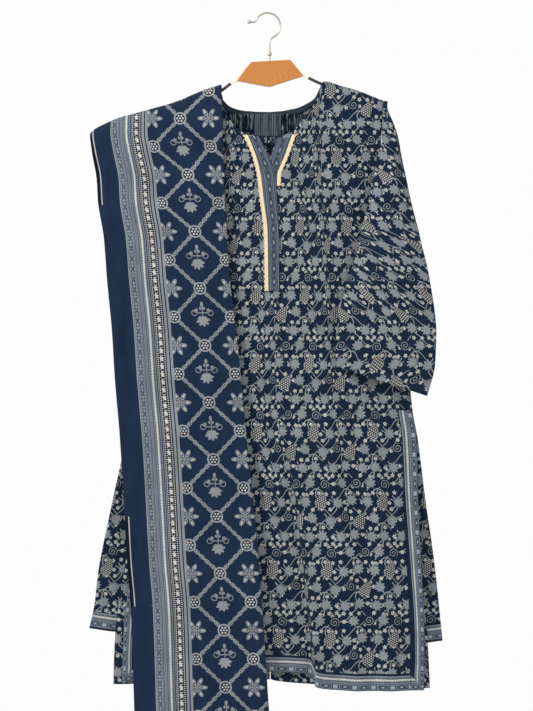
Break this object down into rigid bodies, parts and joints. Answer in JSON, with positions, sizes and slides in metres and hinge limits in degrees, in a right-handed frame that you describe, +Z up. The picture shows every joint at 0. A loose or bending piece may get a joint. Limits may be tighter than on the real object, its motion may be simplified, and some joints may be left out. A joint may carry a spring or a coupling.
{
  "type": "salwar kameez suit with dupatta on a clothes hanger",
  "caption": "Salwar kameez suit hung on a wire hanger with a wooden plate: block-printed tunic over trousers, with a folded scarf draped over one shoulder",
  "frame": {"origin": "the inner top of the hanger's hook, where a rail or wall hook holds it", "axes": "+Z up, the longest extent; -Y is the front; +X is the viewer's right from the front"},
  "size_m": [0.6227, 0.0772, 1.3526],
  "materials": {
    "kameez_cloth": "block-printed cotton",
    "trim_cloth": "printed cotton border",
    "lace": "cotton lace",
    "dupatta_cloth": "block-printed cotton",
    "wood": "varnished",
    "nickel": "satin",
    "cream_paint": "satin",
    "grip_rubber": "matt"
  },
  "bodies": {
    "root": {"kameez_front": "kameez_cloth", "kameez_back": "kameez_cloth", "sleeve_left": "kameez_cloth", "sleeve_right": "kameez_cloth", "front_hem_border": "trim_cloth", "front_slit_border_left": "trim_cloth", "front_slit_border_right": "trim_cloth", "back_hem_border": "trim_cloth", "back_neck_facing": "trim_cloth", "placket_band_left": "trim_cloth", "placket_band_right": "trim_cloth", "lace_left": "lace", "lace_right": "lace", "salwar_waistband": "kameez_cloth", "salwar_leg_left": "kameez_cloth", "salwar_leg_right": "kameez_cloth", "dupatta_front_fall": "dupatta_cloth", "dupatta_front_layers": "dupatta_cloth", "dupatta_back_fall": "dupatta_cloth", "dupatta_back_layers": "dupatta_cloth", "hanger_plate": "wood", "hanger_hook": "nickel", "hook_collar": "nickel", "hanger_arm_left": "cream_paint", "hanger_arm_right": "cream_paint", "arm_grip_left": "grip_rubber", "arm_grip_right": "grip_rubber"}
  },
  "joints": []
}
